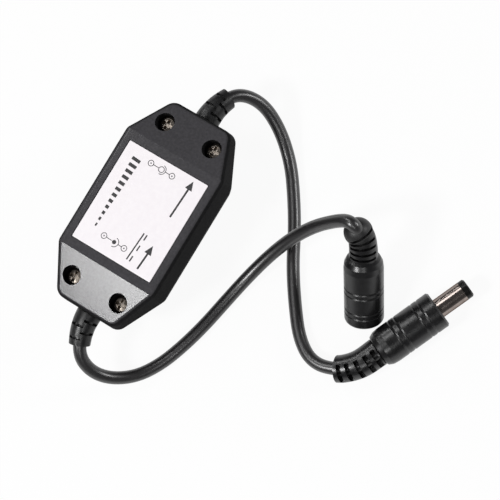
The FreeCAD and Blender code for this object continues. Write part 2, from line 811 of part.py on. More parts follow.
def make_small_parts():
    """The timer chip with its pins, and the chip resistors."""
    chip_y = f"({BOARD_Y} - chip_inset)"
    chip = box("timer_chip", ("chip_length", "chip_width", "chip_height"), ("chip_x", chip_y),
               f"{BOARD_REAR} + chip_lift")
    keep("timer_chip", chip)
    pins = []
    for side in (1, -1):
        for step in (-3, -1, 1, 3):
            name = f"timer_pin_{side + 2}_{step + 4}"
            spot = (f"chip_x + {step} * chip_pin_pitch / 2",
                    f"{chip_y} + {side} * (chip_width + chip_pin_length) / 2")
            size = ("chip_pin_width", "chip_pin_length", "chip_pin_thickness + chip_lift")
            pins.append(box(name, size, spot, BOARD_REAR))
    keep("timer_pins", group("timer_pins", pins))
    chips = []
    for number, (x, y) in enumerate(RESISTOR_SPOTS, start=1):
        size = ("resistor_length", "resistor_width", "resistor_height")
        chips.append(box(f"resistor_{number}", size, (str(x), str(y)), BOARD_REAR))
    keep("chip_resistors", group("chip_resistors", chips))


# Cords

def rounded_path(points):
    """Straight runs joined by arcs that are as large as the runs at each corner allow."""
    edges = []
    radii = []
    start = points[0]
    for before, corner, after in zip(points, points[1:], points[2:]):
        way_in = corner - before
        way_out = after - corner
        reach = ARC_SHARE * min(way_in.Length, way_out.Length)
        half_turn = way_in.getAngle(way_out) / 2
        radius = reach / math.tan(half_turn)
        first = corner - way_in.normalize() * reach
        last = corner + way_out.normalize() * reach
        inward = ((first + last) * 0.5 - corner).normalize()
        middle = corner + inward * (radius / math.cos(half_turn) - radius)
        edges += [Part.LineSegment(start, first).toShape(), Part.Arc(first, middle, last).toShape()]
        radii.append(radius)
        start = last
    edges.append(Part.LineSegment(start, points[-1]).toShape())
    return edges, radii


def tube(edges, radius):
    start, heading = station(edges, 0)
    ring = Part.Wire([Part.makeCircle(radius, start, heading)])
    return Part.Wire(edges).makePipeShell([ring], True, True)


def station(edges, distance):
    """The point and heading at a distance along a path."""
    for edge in edges:
        if distance <= edge.Length or edge is edges[-1]:
            parameter = edge.getParameterByLength(min(distance, edge.Length))
            return edge.valueAt(parameter), edge.tangentAt(parameter)
        distance -= edge.Length


def path_length(edges):
    return sum(edge.Length for edge in edges)


def facing(spot, heading):
    """A placement whose Z looks along the heading and whose X is level."""
    level = UP.cross(heading)
    if level.Length < 0.001:
        level = FreeCAD.Vector(1, 0, 0)
    level.normalize()
    return FreeCAD.Placement(spot, FreeCAD.Rotation(level, heading.cross(level), heading, "ZXY"))


def relief_sleeve(edges, root, way, relief):
    """A sleeve round a path, thinner the further it goes from its root one way along the path."""
    base, end, length = (value(f"{relief}_{name}") for name in ("base", "end", "length"))
    rings = []
    for step in range(RELIEF_RINGS):
        share = step / (RELIEF_RINGS - 1)
        spot, heading = station(edges, root + way * share * length)
        radius = (base + share * (end - base)) / 2
        rings.append(Part.Wire([Part.makeCircle(radius, spot, heading)]))
    return Part.makeLoft(rings, True)


def relief_slots(edges, root, way, relief, turn, alternate):
    """Pairs of slots across a sleeve, row by row. Every second row may be turned by a quarter."""
    names = ("core", "width", "angle", "start", "pitch", "rows")
    core, width, angle, start, pitch, rows = (value(f"{relief}_slot_{name}") for name in names)
    outside = value("socket_diameter")
    low = FreeCAD.Vector(0, 0, -width / 2)
    slots = []
    for row in range(int(rows)):
        spot, heading = station(edges, root + way * (start + row * pitch))
        quarter = 90 if alternate and row % 2 else 0
        for side in (0, 180):
            slot = Part.makeCylinder(outside, width, low, UP, angle)
            slot = slot.cut(Part.makeCylinder(core / 2, width, low))
            slot.rotate(FreeCAD.Vector(), UP, side - angle / 2 + turn + quarter)
            slot.Placement = facing(spot, heading).multiply(slot.Placement)
            slots.append(slot)
    return slots


def housing_relief(label, edges, cord, slot_turn):
    """Inner flange, clamped neck and slotted sleeve, moulded round the cord."""
    face = value("jacket_reach")
    flange_start = face - value("end_wall + flange_thickness")
    spot, heading = station(edges, flange_start)
    flange = Part.makeCylinder(value("flange_diameter / 2"), value("flange_thickness"), spot, heading)
    neck = Part.makeCylinder(value("neck_diameter / 2"), face - flange_start, spot, heading)
    sleeve = relief_sleeve(edges, face, 1, "relief")
    slots = relief_slots(edges, face, 1, "relief", value(slot_turn), alternate=True)
    shape = flange.fuse([neck, sleeve]).cut(slots).cut(cord).removeSplitter()
    return keep(label, solid(label, shape))


def make_leads(end_name, sign):
    """The two insulated leads from the cord's end up and over the board's edge to their pads."""
    names = (f"{end_name}_positive_lead", f"{end_name}_negative_lead")
    jacket_end = "(body_length / 2 - jacket_reach)"
    for name, side, (pad_x, pad_y) in zip(names, (1, -1), lead_pads(sign)):
        near = f"{side} * lead_spread / 2"
        between = f"{side} * (lead_spread + pad_spread) / 4"
        over = f"{BOARD_REAR} + lead_rise"
        points = [vector(f"{sign} * {jacket_end}", near, PARTING),
                  vector(f"{sign} * ({jacket_end} - 2 * lead_diameter)", near, PARTING),
                  vector(f"{sign} * (board_length / 2 + lead_diameter)", between, over),
                  vector(pad_x, pad_y, over),
                  vector(pad_x, pad_y, BOARD_REAR)]
        edges, _ = rounded_path(points)
        keep(name, solid(name, tube(edges, value("lead_diameter / 2"))))


def add_grooves(corners, radius, connector):
    """Two pairs of fine ring grooves in the turned outline of a connector."""
    for height in (f"{connector}_groove_back", f"{connector}_groove_front"):
        for step in (0, 1):
            middle = f"({height} + {step} * {connector}_groove_gap)"
            corners += [(radius, f"{middle} - groove_width / 2"), (f"{radius} - groove_depth", middle),
                        (radius, f"{middle} + groove_width / 2")]


def shoulder(radius):
    """The rounded back of a connector's body, as corners of its turned outline."""
    return [(f"{radius} - shoulder_inset * (1 - sin({angle}))", f"shoulder_length * (1 - cos({angle}))")
            for angle in SHOULDER_ANGLES]


def moulded_connector(label, profile, edges, cord, relief, domed=False):
    """A connector's moulded body at the end of its cord, in one piece with its slotted relief."""
    reach = path_length(edges)
    spot, heading = station(edges, reach)
    profile.Placement = facing(spot, heading)
    doc.recompute()
    sleeve = relief_sleeve(edges, reach, -1, relief)
    if domed:
        end_spot, _ = station(edges, reach - value(f"{relief}_length"))
        sleeve = sleeve.fuse(Part.makeSphere(value(f"{relief}_dome / 2"), end_spot))
    slots = relief_slots(edges, reach, -1, relief, value(f"{relief}_slot_turn"), alternate=False)
    tail = solid(f"{label}_relief", sleeve.cut(slots).cut(cord))
    keep(label, fuse(label, [profile, tail]))
    return profile.Placement


def make_plug(edges, cord):
    """Male connector: moulded body, nickel sleeve, black liner with its tip, and the inner contact."""
    body = new_body("plug_body")
    radius = "plug_diameter / 2"
    bore = "barrel_flange / 2 + mould_clearance"
    root = "(plug_length - barrel_root)"
    corners = [("0", "0")] + shoulder(radius)
    add_grooves(corners, radius, "plug")
    corners += [(radius, "plug_length - plug_face_chamfer"), (f"{radius} - plug_face_chamfer", "plug_length"),
                (bore, "plug_length"), (bore, root), ("0", root)]
    revolve(body, "plug_profile", corners)
    pose = moulded_connector("plug_body", body, edges, cord, "plug_relief")

    tip = "(plug_length + barrel_length)"
    collar = f"({tip} - tip_length)"
    outer = "barrel_diameter / 2"
    inner = f"({LINER_RADIUS} - liner_wall)"
    hole = "contact_bore / 2"
    sleeve = new_body("plug_sleeve")
    revolve(sleeve, "sleeve_profile", [
        ("barrel_flange / 2", root), ("barrel_flange / 2", "plug_length"), (outer, "plug_length"),
        (outer, collar), (f"{outer} - sleeve_wall", collar), (f"{outer} - sleeve_wall", root)])
    liner = new_body("plug_insulator")
    mouth = f"({tip} - contact_inset)"
    revolve(liner, "liner_profile", [
        (inner, root), (LINER_RADIUS, root), (LINER_RADIUS, collar), (outer, collar),
        (outer, f"{tip} - tip_chamfer"), (f"{outer} - tip_chamfer", tip), (f"{hole} + tip_chamfer", tip),
        (hole, f"{tip} - tip_chamfer"), (hole, mouth), (inner, mouth)])
    contact = new_body("plug_contact")
    top = f"({mouth} - mould_clearance)"
    revolve(contact, "contact_profile", [
        ("0", root), (CONTACT_RADIUS, root), (CONTACT_RADIUS, top), (hole, top),
        (hole, f"{root} + contact_back"), ("0", f"{root} + contact_back")])
    for label, item in (("plug_sleeve", sleeve), ("plug_insulator", liner), ("plug_contact", contact)):
        item.Placement = pose
        keep(label, item)


def make_socket(edges, cord):
    """Female connector: moulded body, rigid insert, centre pin and the leaf spring beside it."""
    body = new_body("socket_body")
    radius = "socket_diameter / 2"
    hole = f"({INSERT_RADIUS} + mould_clearance)"
    back = "(socket_length - socket_depth - insert_back)"
    corners = [("0", "0")] + shoulder(radius)
    add_grooves(corners, radius, "socket")
    corners += [(radius, "socket_length"), (hole, "socket_length"), (hole, back), ("0", back)]
    turned = revolve(body, "socket_profile", corners)
    mouth = value("socket_length")
    wide = value(f"2 * pi * ({radius} - socket_mouth_round)")
    fillet(body, turned, "socket_mouth_round",
           lambda edge: edge.BoundBox.ZMin > mouth - NEAR and edge.Length > wide)
    pose = moulded_connector("socket_body", body, edges, cord, "socket_relief", domed=True)

    insert = new_body("socket_insert")
    inner = "socket_bore / 2"
    floor = f"({back} + insert_back)"
    pin_hole = "pin_diameter / 2 + mould_clearance"
    rim = "socket_length - socket_mouth_round / 2"
    revolve(insert, "insert_profile", [
        (pin_hole, back), (INSERT_RADIUS, back), (INSERT_RADIUS, rim), (inner, rim), (inner, floor),
        (pin_hole, floor)])
    slot = new_sketch(insert, "insert_spring_slot", lift=floor)
    deep = f"({inner} + insert_wall / 2)"
    half = "(spring_width / 2 + mould_clearance)"
    add_outline(slot, [("0", half), (deep, half), (deep, f"-{half}"), ("0", f"-{half}")])
    pocket(insert, slot, upward=True)

    pin = new_body("socket_pin")
    thick = "pin_diameter / 2"
    tip = "(socket_length - pin_inset)"
    revolve(pin, "pin_profile", [("0", back), (thick, back), (thick, f"{tip} - {thick} / 2"),
                                 (f"{thick} / 2", tip), ("0", tip)])

    spring = new_body("socket_spring")
    leaf = new_sketch(spring, "spring_leaf", "XZ_Plane")
    wall_side = f"{deep} - spring_thickness - mould_clearance"
    bowed = f"{inner} - spring_bow"
    levels = [floor, f"{floor} + spring_peak", f"{floor} + spring_length"]
    faces = [wall_side, bowed, wall_side]
    outside = [(f"{face} + spring_thickness", level) for face, level in zip(faces, levels)]
    inside = [(face, level) for face, level in zip(reversed(faces), reversed(levels))]
    add_outline(leaf, outside + inside)
    feature = pad(spring, leaf, "spring_width")
    feature.SideType = "Symmetric"
    doc.recompute()
    for label, item in (("socket_insert", insert), ("socket_pin", pin), ("socket_spring", spring)):
        item.Placement = pose
        keep(label, item)


def cord_start(sign):
    """The cord's end inside the housing, and its first corner outside, on the relief's axis."""
    return [vector(f"{sign} * (body_length / 2 - jacket_reach)", "0", PARTING),
            vector(f"{sign} * (body_length / 2 + first_bend)", "0", PARTING)]


def make_cord(label, points):
    edges, radii = rounded_path(points)
    shape = tube(edges, value("cord_diameter / 2"))
    length = path_length(edges)
    expected = length * math.pi * value("cord_diameter / 2") ** 2
    print(f"{label}: length {length:.1f}, volume {shape.Volume:.1f}, section by length {expected:.1f}")
    print("  radii", ", ".join(f"{radius:.1f}" for radius in radii))
    keep(label, solid(label, shape))
    return edges, shape


def make_output_cord():
    """From the housing's output end down to the floor, and on to the male connector."""
    lying = value("cord_diameter / 2")
    plug_height = value("plug_diameter / 2")
    route = [(42.3, -2.4, 15.0), (44.0, -8.9, 10.2), (40.3, -16.0, 5.0), (33.8, -22.8, lying),
             (26.6, -28.2, lying), (18.5, -33.5, lying), (9.4, -38.4, lying), (0.5, -44.6, lying),
             (-7.3, -50.9, lying), (-11.0, -57.5, 2.4), (-9.1, -64.85, 4.0), (-4.87, -69.55, plug_height),
             (0.81, -72.04, plug_height)]
    edges, shape = make_cord("output_cord", cord_start(1) + [FreeCAD.Vector(*spot) for spot in route])
    housing_relief("output_strain_relief", edges, shape, "relief_slot_turn")
    make_leads("output", 1)
    make_plug(edges, shape)


def socket_end(x, y, heading):
    """The last two points of the input cord, on the axis of a socket that rests on its mouth's rim."""
    dip = math.radians(value("socket_dip"))
    rim = value("socket_mouth_round")
    ring = value("socket_diameter / 2") - rim
    mouth_height = ring * math.cos(dip) + rim * (1 - math.sin(dip))
    shoulder = FreeCAD.Vector(x, y, mouth_height + value("socket_length") * math.sin(dip))
    compass = math.radians(heading)
    level = math.cos(dip)
    axis = FreeCAD.Vector(level * math.cos(compass), level * math.sin(compass), -math.sin(dip))
    return [shoulder - axis * value("socket_lead_in"), shoulder]


def make_input_cord():
    """From the housing's input end, over the other cord, and on to the female connector."""
    lying = value("cord_diameter / 2")
    route = [(-42.2, -2.5, 15.1), (-44.7, -6.7, 11.0), (-43.8, -11.6, 6.8), (-39.7, -16.7, 3.3),
             (-33.4, -20.5, lying), (-26.0, -23.3, lying), (-17.5, -25.6, lying), (-8.5, -27.3, lying),
             (0.0, -29.3, 3.0), (7.5, -32.0, 6.0), (13.7, -35.2, 9.7), (18.3, -38.7, 13.6),
             (21.5, -42.0, 17.0), (23.6, -45.3, 20.4), (25.1, -48.1, 22.6), (25.8, -50.6, 23.7),
             (25.35, -53.3, 23.5), (24.4, -55.2, 22.0)]
    points = [FreeCAD.Vector(*spot) for spot in route] + socket_end(20.46, -57.46, -155.45)
    edges, shape = make_cord("input_cord", cord_start(-1) + points)
    housing_relief("input_strain_relief", edges, shape, "180 - relief_slot_turn")
    make_leads("input", -1)
    make_socket(edges, shape)


def write_parts():
    """Writes each sub-part, once all of them are sound."""
    doc.recompute()
    for item in doc.Objects:
        if {"Invalid", "Error"} & set(item.State):
            raise RuntimeError(f"{item.Label} failed: {item.State}")
    for label, item in subparts.items():
        if item.Shape.isNull() or not item.Shape.isValid() or not item.Shape.Solids:
            raise RuntimeError(f"{label} has no sound solid")
    os.makedirs("parts", exist_ok=True)
    for label, item in subparts.items():
        item.Shape.exportStep(f"parts/{label}.step")
    print(f"{len(subparts)} sub-parts written")


make_rear_cover()
make_front_cover()
make_label()
make_screws()
make_knob()
make_pot_shaft()
make_pot_bracket()
make_pot_wafer()
make_pot_terminals()
make_pot_wiper()
make_board()
make_power_parts()
make_small_parts()
make_output_cord()
make_input_cord()
write_parts()
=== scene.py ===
import math

import bpy
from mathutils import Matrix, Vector


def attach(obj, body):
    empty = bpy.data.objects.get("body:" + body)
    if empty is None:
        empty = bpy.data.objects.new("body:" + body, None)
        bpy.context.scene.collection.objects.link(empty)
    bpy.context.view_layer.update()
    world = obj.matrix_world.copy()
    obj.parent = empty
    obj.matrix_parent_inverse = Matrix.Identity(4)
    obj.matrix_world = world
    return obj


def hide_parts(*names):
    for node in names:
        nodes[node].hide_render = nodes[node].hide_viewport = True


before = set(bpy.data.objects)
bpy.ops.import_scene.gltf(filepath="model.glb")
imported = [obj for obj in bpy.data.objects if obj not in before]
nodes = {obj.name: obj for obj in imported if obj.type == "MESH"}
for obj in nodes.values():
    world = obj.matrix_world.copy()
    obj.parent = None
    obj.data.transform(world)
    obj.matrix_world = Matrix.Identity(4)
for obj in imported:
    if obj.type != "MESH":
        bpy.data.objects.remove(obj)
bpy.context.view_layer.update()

# Rotary cord dimmer, lying on its knob with the label up. Metres, in the frame of the CAD model:
# X runs along the housing towards the output cord, and Z is up.

MM = 0.001
scene = bpy.context.scene

# Camera, fitted to the photograph, with its turn in degrees and its lens and sensor in millimetres
CAMERA_PLACE = (-13.41 * MM, -154.02 * MM, 506.38 * MM)
CAMERA_TURN = (9.402, 11.029, -58.193)
CAMERA_LENS = 133.88
CAMERA_SENSOR = 36.0

# Cords, in millimetres: the routes of the CAD model's tubes. Only the input cord's end is raised, so that it
# goes over the socket's elbow as in the photograph.
CORD_DIAMETER = 3.7
LYING = CORD_DIAMETER / 2
PARTING_HEIGHT = 17.5
PLUG_HEIGHT = 5.4
CORD_START = 27.0
FIRST_BEND = 35.0
OUTPUT_ROUTE = [
    (CORD_START, 0, PARTING_HEIGHT), (FIRST_BEND, 0, PARTING_HEIGHT), (42.3, -2.4, 15.0), (44.0, -8.9, 10.2),
    (40.3, -16.0, 5.0), (33.8, -22.8, LYING), (26.6, -28.2, LYING), (18.5, -33.5, LYING), (9.4, -38.4, LYING),
    (0.5, -44.6, LYING), (-7.3, -50.9, LYING), (-11.0, -57.5, 2.4), (-9.1, -64.85, 4.0),
    (-4.87, -69.55, PLUG_HEIGHT), (0.81, -72.04, PLUG_HEIGHT)]
INPUT_ROUTE = [
    (-CORD_START, 0, PARTING_HEIGHT), (-FIRST_BEND, 0, PARTING_HEIGHT), (-42.2, -2.5, 15.1),
    (-44.7, -6.7, 11.0), (-43.8, -11.6, 6.8), (-39.7, -16.7, 3.3), (-33.4, -20.5, LYING),
    (-26.0, -23.3, LYING), (-17.5, -25.6, LYING), (-8.5, -27.3, LYING), (0.0, -29.3, 3.0), (7.5, -32.0, 6.0),
    (13.7, -35.2, 9.7), (18.3, -38.7, 13.6), (21.5, -42.0, 17.0), (23.6, -45.3, 20.8), (25.0, -48.0, 24.0),
    (25.9, -50.5, 26.6), (25.7, -52.7, 27.2), (24.9, -54.6, 24.6), (22.488, -56.534, 20.165),
    (20.46, -57.46, 18.011)]
CORD_ROUND_STEPS = 8
CORD_LENGTH_STEPS = 16

# Connectors: the directions of their axes, and the place of the socket's elbow in millimetres
PLUG_AXIS = (0.9159, -0.4015, 0.0)
SOCKET_AXIS = (-0.6543, -0.2989, -0.6947)
SOCKET_ELBOW = (25.4, -53.2, 23.4)

# Label print, in plan millimetres. Each line is given by the ends of its middle.
INK_HEIGHT = 26.96
SCALE_LINE = ((-9.1, 9.7), (11.4, 8.4))
SCALE_BARS = 12
BAR_WIDTH = 0.95
LOWEST_BAR = 0.5
HIGHEST_BAR = 2.7
OUTPUT_ARROW = ((2.7, -8.2), (14.2, -8.7))
INPUT_ARROW = ((-13.8, -7.9), (-6.3, -8.4))
ARROW_WIDTH = 0.55
ARROW_HEAD_LENGTH = 2.6
ARROW_HEAD_WIDTH = 2.2
SUPPLY_LINE = ((-13.1, -4.4), (-4.6, -4.9))
SUPPLY_DASHES = 3
SUPPLY_GAP = 1.0
SUPPLY_WIDTH = 0.4
OUTPUT_POLES = ((12.7, 4.3), (12.6, 0.8), (12.5, -2.7))
INPUT_POLES = ((-10.7, 5.0), (-10.8, 1.6), (-10.9, -1.7))
POLE_RADIUS = 0.8
POLE_LINE = 0.2
POLE_DOT = 0.2
TIP_DOT = 0.6
SLEEVE_RADIUS = 1.3
SLEEVE_ANGLES = (-185, -5)
ROUND_STEPS = 32

# Surfaces: the middle range of a noise, and how many times larger than a plastic's grain its patches of
# colour and gloss are, or finer than a metal's wear its relief is
NOISE_MIDDLE = (0.3, 0.7)
COLOUR_PATCH = 2
GLOSS_PATCH = 3
METAL_RELIEF = 3
METAL_DETAIL = 4.0
RING_DETAIL = 1.0
RING_SIZE = 0.35
RING_HEIGHT = 0.008

# Floor and room: the share of plain white in what the floor shows, and the room's light by height
FLOOR_HALF = 3.0
FLOOR_WHITE = 0.93
FLOOR_PAPER = (0.85, 0.85, 0.85, 1)
ROOM_COLOUR = (0.98, 0.98, 1.0, 1)
HORIZON_LIGHT = 0.22
OVERHEAD_LIGHT = 0.1
HORIZON_BAND = 0.45

# Lamps, in metres and watts
LAMPS = {
    "key_light": dict(direction=(-0.517, 0.246, 0.82), distance=1.0, width=0.19, height=0.19, power=6.1),
    "top_light": dict(direction=(0.15, 0.5, 0.85), distance=1.4, width=0.35, height=0.5, power=3.5),
    "low_light": dict(direction=(-0.435, -0.448, 0.78), distance=1.0, width=0.25, height=0.25, power=1.2),
    "rim_light": dict(direction=(0.285, 0.806, 0.518), distance=1.0, width=0.16, height=0.16, power=0.9),
    "fill_light": dict(direction=(0.66, -0.64, 0.45), distance=1.0, width=0.25, height=0.25, power=2.8),
}


def add_object(name, data):
    item = bpy.data.objects.new(name, data)
    scene.collection.objects.link(item)
    return item


# Materials

class Surface:
    """A node material round one Principled shader, with textures in the object's own coordinates."""

    def __init__(self, name, **settings):
        self.material = bpy.data.materials.new(name)
        self.material.use_nodes = True
        self.tree = self.material.node_tree
        self.shader = self.tree.nodes["Principled BSDF"]
        for socket, setting in settings.items():
            self.shader.inputs[socket.replace("_", " ")].default_value = setting
        self.coordinates = self.tree.nodes.new("ShaderNodeTexCoord")
        self.place = self.coordinates.outputs["Object"]

    def link(self, source, target):
        self.tree.links.new(source, target)

    def noise(self, size, detail=2.0):
        """Noise whose grains measure about the given size in millimetres."""
        node = self.tree.nodes.new("ShaderNodeTexNoise")
        node.inputs["Scale"].default_value = 1 / (size * MM)
        node.inputs["Detail"].default_value = detail
        self.link(self.place, node.inputs["Vector"])
        return node.outputs["Fac"]

    def rings(self, axis, size):
        """Noise that changes only along an axis, so that it makes rings round it."""
        along = self.tree.nodes.new("ShaderNodeVectorMath")
        along.operation = "DOT_PRODUCT"
        along.inputs[1].default_value = axis
        self.link(self.place, along.inputs[0])
        node = self.tree.nodes.new("ShaderNodeTexNoise")
        node.noise_dimensions = "1D"
        node.inputs["Scale"].default_value = 1 / (size * MM)
        node.inputs["Detail"].default_value = RING_DETAIL
        self.link(along.outputs["Value"], node.inputs["W"])
        return node.outputs["Fac"]

    def by_distance(self, centre, inner, outer, near, far):
        """One value within the inner distance of a point, another past the outer one, in millimetres."""
        node = self.tree.nodes.new("ShaderNodeVectorMath")
        node.operation = "DISTANCE"
        node.inputs[1].default_value = Vector(centre) * MM
        self.link(self.place, node.inputs[0])
        return self.stretch(node.outputs["Value"], inner * MM, outer * MM, near, far)

    def upward(self, wall=0.78, top=0.95):
        """From 0 where the surface is a wall to 1 where it faces up."""
        split = self.tree.nodes.new("ShaderNodeSeparateXYZ")
        self.link(self.coordinates.outputs["Normal"], split.inputs[0])
        return self.stretch(split.outputs["Z"], wall, top, 0, 1)

    def stretch(self, source, first, last, low, high):
        """Values from first to last, brought to the range from low to high."""
        node = self.tree.nodes.new("ShaderNodeMapRange")
        for socket, setting in (("From Min", first), ("From Max", last), ("To Min", low), ("To Max", high)):
            node.inputs[socket].default_value = setting
        self.link(source, node.inputs["Value"])
        return node.outputs["Result"]

    def spread(self, noise, low, high):
        """The noise's middle range stretched between two values."""
        return self.stretch(noise, *NOISE_MIDDLE, low, high)

    def blend(self, factor, low, high):
        """A colour between two, each a plain colour or an output."""
        node = self.tree.nodes.new("ShaderNodeMix")
        node.data_type = "RGBA"
        for socket, side in (("A", low), ("B", high)):
            if isinstance(side, tuple):
                node.inputs[socket].default_value = (*side, 1)
            else:
                self.link(side, node.inputs[socket])
        self.link(factor, node.inputs["Factor"])
        return node.outputs["Result"]

    def colours(self, noise, dark, light):
        return self.blend(self.spread(noise, 0, 1), dark, light)

    def set(self, socket, source):
        self.link(source, self.shader.inputs[socket])

    def bump(self, source, height):
        """Raises the surface by up to the given height in millimetres, on top of any earlier bump."""
        node = self.tree.nodes.new("ShaderNodeBump")
        node.inputs["Distance"].default_value = height * MM
        self.link(source, node.inputs["Height"])
        normal = self.shader.inputs["Normal"]
        if normal.is_linked:
            self.link(normal.links[0].from_socket, node.inputs["Normal"])
        self.link(node.outputs["Normal"], normal)


def moulded_plastic(name, dark, light, roughness, grain, height, **settings):
    """Plastic with the fine grain of its mould in colour, gloss and relief."""
    surface = Surface(name, **settings)
    surface.set("Base Color", surface.colours(surface.noise(grain * COLOUR_PATCH), dark, light))
    surface.set("Roughness", surface.spread(surface.noise(grain * GLOSS_PATCH), *roughness))
    surface.bump(surface.noise(grain), height)
    return surface


def ringed_plastic(name, axis, **settings):
    """Moulded plastic with fine rings round an axis."""
    surface = moulded_plastic(name, **settings)
    surface.bump(surface.rings(axis, RING_SIZE), RING_HEIGHT)
    return surface


def facing_shaded_plastic(name, walls, faces, wall_roughness, face_roughness, mottle, grain, height, **settings):
    """One plastic with painted light on its sparkling up faces and painted shade on its plain walls."""
    surface = Surface(name, **settings)
    up = surface.upward()
    patches = surface.noise(mottle)
    shaded_wall_colour = surface.colours(patches, *walls)
    lit_face_colour = surface.colours(patches, *faces)
    # Painted light and shade: the faces that look up take the lighter colour, the walls the darker one
    surface.set("Base Color", surface.blend(up, shaded_wall_colour, lit_face_colour))
    surface.set("Roughness", surface.stretch(up, 0, 1, wall_roughness, face_roughness))
    surface.bump(surface.noise(grain), height)
    return surface


def plain_metal(name, dark, light, roughness, grain, edge=(0.6, 0.6, 0.6), height=0.004):
    """Metal whose wear changes its colour and gloss together, tinted at its edges."""
    surface = Surface(name, Metallic=1.0, Specular_Tint=(*edge, 1))
    wear = surface.noise(grain, detail=METAL_DETAIL)
    surface.set("Base Color", surface.colours(wear, dark, light))
    surface.set("Roughness", surface.spread(wear, *roughness))
    surface.bump(surface.noise(grain / METAL_RELIEF), height)
    return surface


# Outside of the housing, the cords and the connectors
# The housing's walls get a painted shade colour and its faces that look up a painted lit colour, on one black
# plastic
housing_plastic = facing_shaded_plastic(
    "housing_plastic", walls=((0.005, 0.005, 0.0053), (0.01, 0.0098, 0.0105)),
    faces=((0.048, 0.0465, 0.05), (0.063, 0.061, 0.066)), wall_roughness=0.9, face_roughness=0.15,
    mottle=0.7, grain=0.32, height=0.009, Specular_IOR_Level=0.16)
knob_plastic = moulded_plastic(
    "knob_plastic", dark=(0.012, 0.012, 0.012), light=(0.02, 0.02, 0.02),
    roughness=(0.35, 0.5), grain=0.4, height=0.01)
relief_rubber = moulded_plastic(
    "relief_rubber", dark=(0.004, 0.004, 0.0043), light=(0.008, 0.008, 0.0085),
    roughness=(0.32, 0.45), grain=0.5, height=0.02, Specular_IOR_Level=0.5)
cord_jacket = moulded_plastic(
    "cord_jacket", dark=(0.009, 0.0084, 0.009), light=(0.013, 0.0121, 0.013),
    roughness=(0.32, 0.36), grain=1.5, height=0.0006, Specular_IOR_Level=1.0)
CONNECTOR_FINISH = dict(
    dark=(0.003, 0.003, 0.0033), light=(0.006, 0.0058, 0.0064),
    roughness=(0.26, 0.36), grain=0.6, height=0.002, Specular_IOR_Level=0.6)
plug_plastic = ringed_plastic("plug_plastic", PLUG_AXIS, **CONNECTOR_FINISH)
socket_plastic = ringed_plastic("socket_plastic", SOCKET_AXIS, **CONNECTOR_FINISH)
dull_elbow = socket_plastic.by_distance(SOCKET_ELBOW, inner=4.2, outer=6.0, near=0.5, far=0.31)
socket_plastic.set("Roughness", dull_elbow)
tip_plastic = moulded_plastic(
    "tip_plastic", dark=(0.004, 0.004, 0.004), light=(0.007, 0.007, 0.007),
    roughness=(0.2, 0.3), grain=0.4, height=0.004, Specular_IOR_Level=0.2)
label_paper = moulded_plastic(
    "label_paper", dark=(0.905, 0.865, 0.89), light=(0.935, 0.9, 0.92),
    roughness=(0.5, 0.6), grain=0.6, height=0.002, Specular_IOR_Level=0.2)
label_ink = moulded_plastic(
    "label_ink", dark=(0.02, 0.02, 0.022), light=(0.035, 0.034, 0.036),
    roughness=(0.45, 0.6), grain=0.3, height=0.001)
screw_nickel = plain_metal(
    "screw_nickel", dark=(0.3, 0.26, 0.22), light=(0.46, 0.41, 0.36),
    roughness=(0.3, 0.42), grain=1.2, edge=(0.4, 0.36, 0.32), height=0.001)
barrel_nickel = plain_metal(
    "barrel_nickel", dark=(0.28, 0.24, 0.22), light=(0.36, 0.315, 0.29),
    roughness=(0.17, 0.21), grain=1.5, edge=(0.2, 0.16, 0.15), height=0.0005)

# Pieces inside
package_resin = moulded_plastic(
    "package_resin", dark=(0.01, 0.01, 0.01), light=(0.025, 0.025, 0.025),
    roughness=(0.5, 0.65), grain=0.2, height=0.01)
board_mask = moulded_plastic(
    "board_mask", dark=(0.01, 0.09, 0.035), light=(0.02, 0.16, 0.06),
    roughness=(0.3, 0.45), grain=1.2, height=0.01)
wafer_laminate = moulded_plastic(
    "wafer_laminate", dark=(0.16, 0.07, 0.03), light=(0.24, 0.12, 0.05),
    roughness=(0.5, 0.65), grain=0.5, height=0.01)
red_insulation = moulded_plastic(
    "red_insulation", dark=(0.35, 0.01, 0.01), light=(0.5, 0.02, 0.02),
    roughness=(0.3, 0.42), grain=0.5, height=0.006)
tinned_metal = plain_metal(
    "tinned_metal", dark=(0.6, 0.6, 0.6), light=(0.78, 0.78, 0.79), roughness=(0.25, 0.4), grain=0.4)
brass_metal = plain_metal(
    "brass_metal", dark=(0.6, 0.42, 0.16), light=(0.8, 0.6, 0.28), roughness=(0.2, 0.35), grain=0.5)
turned_aluminium = plain_metal(
    "turned_aluminium", dark=(0.6, 0.6, 0.61), light=(0.78, 0.78, 0.79), roughness=(0.2, 0.35), grain=0.4)

FINISHES = {
    housing_plastic: ["rear_cover", "front_cover"],
    label_paper: ["face_label"],
    screw_nickel: ["cover_screws"],
    knob_plastic: ["knob"],
    turned_aluminium: ["pot_shaft", "filter_capacitor"],
    tinned_metal: ["pot_bracket", "mosfet_leads", "timer_pins"],
    wafer_laminate: ["pot_wafer"],
    brass_metal: ["pot_terminals", "pot_wiper", "plug_contact", "socket_spring"],
    board_mask: ["circuit_board"],
    package_resin: ["power_mosfet", "surge_diode", "timer_chip", "chip_resistors"],
    relief_rubber: ["output_strain_relief", "input_strain_relief"],
    red_insulation: ["output_positive_lead", "input_positive_lead"],
    cord_jacket: ["output_negative_lead", "input_negative_lead"],
    plug_plastic: ["plug_body"],
    socket_plastic: ["socket_body"],
    tip_plastic: ["plug_insulator", "socket_insert"],
    barrel_nickel: ["plug_sleeve", "socket_pin"],
}
for surface, names in FINISHES.items():
    for name in names:
        nodes[name].data.materials.clear()
        nodes[name].data.materials.append(surface.material)


# Cords

